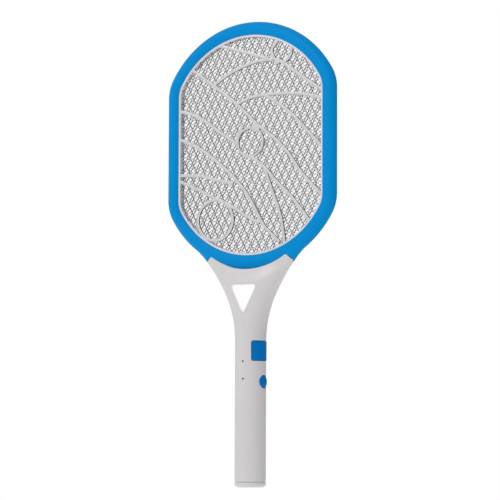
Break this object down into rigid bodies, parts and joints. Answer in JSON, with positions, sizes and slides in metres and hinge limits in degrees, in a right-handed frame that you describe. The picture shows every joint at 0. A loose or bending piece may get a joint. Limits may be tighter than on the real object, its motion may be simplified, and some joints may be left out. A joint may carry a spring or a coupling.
{
  "type": "electric fly swatter",
  "caption": "Racket-shaped electric fly swatter: rounded ring with two outer nets over a fine shock grid, flared throat with triangular lamp, round handle with side trigger and push button.",
  "frame": {"origin": "centre of the flat butt end of the handle", "axes": "+Z along the handle towards the head, front of the swatter (lamp side) facing -Y, buttons on the +X side"},
  "size_m": [0.2034, 0.0328, 0.49],
  "materials": {
    "ring_blue": "satin gloss",
    "button_blue": "satin gloss",
    "handle_white": "gloss, faintly warm",
    "net_aluminium": "satin, stamped",
    "grid_aluminium": "satin, expanded mesh",
    "spacer_plastic": "matte",
    "lamp_lens": "opal diffuser",
    "led_clear": "clear epoxy",
    "led_red": "tinted epoxy",
    "led_dark": "tinted epoxy",
    "screw_steel": "zinc plated",
    "spring_steel": "drawn wire",
    "black_plastic": "matte",
    "board_green": "solder mask",
    "ferrite": "sintered",
    "copper_winding": "enamelled wire",
    "capacitor_red": "dipped epoxy",
    "battery_wrap": "shrink film",
    "red_lead": "flexible insulation",
    "black_lead": "flexible insulation",
    "resistor_tan": "lacquered",
    "contact_brass": "plated"
  },
  "bodies": {
    "casing": {"front_frame": "ring_blue", "rear_frame": "ring_blue", "front_net": "net_aluminium", "rear_net": "net_aluminium", "shock_grid": "grid_aluminium", "front_spacer_ring": "spacer_plastic", "rear_spacer_ring": "spacer_plastic", "front_handle_shell": "handle_white", "rear_handle_shell": "handle_white", "butt_cap": "handle_white", "lamp_bezel": "handle_white", "lamp_lens": "lamp_lens", "lamp_board": "board_green", "charge_indicator_led": "led_red", "power_indicator_led": "led_dark", "trigger_pin": "screw_steel", "trigger_spring": "spring_steel", "trigger_spring_seat": "black_plastic", "trigger_switch_body": "black_plastic", "push_button_spring": "spring_steel", "latching_switch_body": "black_plastic", "circuit_board": "board_green", "transformer_core": "ferrite", "transformer_winding": "copper_winding", "storage_capacitor": "capacitor_red", "transistor": "black_plastic", "discharge_resistor": "resistor_tan", "battery_cell": "battery_wrap", "battery_positive_tab": "screw_steel", "battery_negative_tab": "screw_steel", "charging_socket": "black_plastic", "charging_socket_pin": "contact_brass", "grid_lead": "red_lead", "front_net_lead": "black_lead", "rear_net_lead": "black_lead", "lamp_lead": "red_lead", "battery_lead_positive": "red_lead", "battery_lead_negative": "black_lead", "charging_lead": "red_lead", "lamp_led_1": "led_clear", "rectifier_diode_1": "black_plastic", "lamp_led_2": "led_clear", "rectifier_diode_2": "black_plastic", "lamp_led_3": "led_clear", "rectifier_diode_3": "black_plastic", "handle_screw_1": "screw_steel", "handle_screw_2": "screw_steel", "handle_screw_3": "screw_steel", "handle_screw_4": "screw_steel", "handle_screw_5": "screw_steel", "frame_screw_1": "screw_steel", "frame_screw_2": "screw_steel", "frame_screw_3": "screw_steel", "frame_screw_4": "screw_steel", "frame_screw_5": "screw_steel", "frame_screw_6": "screw_steel"},
    "trigger": {"trigger_button": "button_blue"},
    "trigger_plunger": {"trigger_switch_plunger": "black_plastic"},
    "push_button": {"push_button": "button_blue", "latching_switch_plunger": "contact_brass"}
  },
  "joints": [
    {"name": "trigger_pivot", "type": "hinge", "parent": "casing", "child": "trigger", "pos_m": [0.0105, 0, 0.1285], "axis": [0, -1, 0], "range_deg": [0, 2], "stiffness_Nm_per_rad": 0.05, "springref_deg": -8.59, "deforming": ["trigger_spring"]},
    {"name": "push_button_slide", "type": "slide", "parent": "casing", "child": "push_button", "axis": [-1, 0, 0], "range_m": [0, 0.002], "stiffness_N_per_m": 150, "springref_m": -0.006, "deforming": ["push_button_spring"]},
    {"name": "trigger_plunger_slide", "type": "slide", "parent": "casing", "child": "trigger_plunger", "axis": [-1, 0, 0], "range_m": [0, 0.0006]}
  ],
  "couplings": [
    {"joint": "trigger_plunger_slide", "follows": "trigger_pivot", "m_per_rad": 0.0157}
  ]
}
